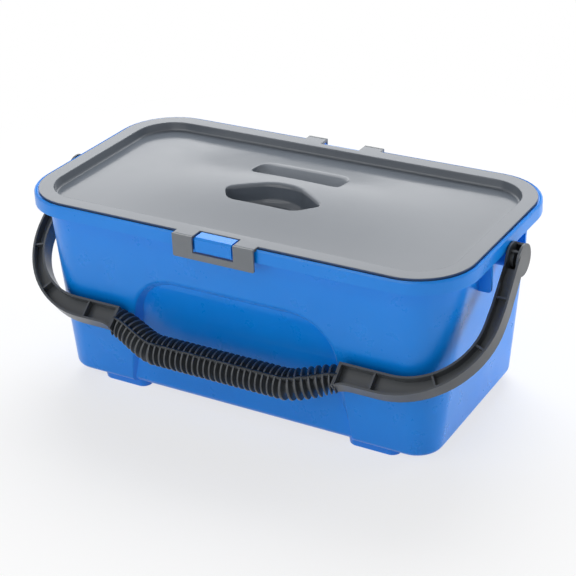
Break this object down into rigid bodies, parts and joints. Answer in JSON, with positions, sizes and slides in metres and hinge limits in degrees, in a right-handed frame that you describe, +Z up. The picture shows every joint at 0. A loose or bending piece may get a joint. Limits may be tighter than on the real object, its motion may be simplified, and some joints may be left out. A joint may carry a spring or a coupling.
{
  "type": "lidded cleaning bucket",
  "caption": "Rectangular lidded cleaning bucket: tapered tub with a finger recess, clip-down lid with finger pockets and fold-down clips, and a swing handle with a ribbed round grip.",
  "frame": {"origin": "middle of the tub's flat underside, which the four feet stand below", "axes": "+X along the long sides, towards the right end seen from the front; +Y from the front to the back; +Z up"},
  "size_m": [0.56, 0.304, 0.2264],
  "materials": {
    "tub_plastic": "semi-gloss injection-moulded polypropylene, mid blue",
    "lid_plastic": "smooth semi-gloss polypropylene, light grey",
    "clip_plastic": "satin polypropylene, light grey",
    "handle_plastic": "satin polypropylene, dark grey"
  },
  "bodies": {
    "tub": {"tub": "tub_plastic"},
    "lid": {"lid": "lid_plastic"},
    "front_clip": {"front_clip": "clip_plastic"},
    "rear_clip": {"rear_clip": "clip_plastic"},
    "bail": {"bail": "handle_plastic"}
  },
  "joints": [
    {"name": "bail_swing", "type": "hinge", "parent": "tub", "child": "bail", "pos_m": [0, 0, 0.189], "axis": [-1, 0, 0], "range_deg": [0, 253.8]},
    {"name": "lid_lift", "type": "slide", "parent": "tub", "child": "lid", "axis": [0, 0, 1], "range_m": [0, 0.18]},
    {"name": "front_clip_flex", "type": "hinge", "parent": "lid", "child": "front_clip", "pos_m": [0, -0.144, 0.2152], "axis": [-1, 0, 0], "range_deg": [0, 15]},
    {"name": "rear_clip_flex", "type": "hinge", "parent": "lid", "child": "rear_clip", "pos_m": [0, 0.144, 0.2152], "axis": [1, 0, 0], "range_deg": [0, 15]}
  ]
}
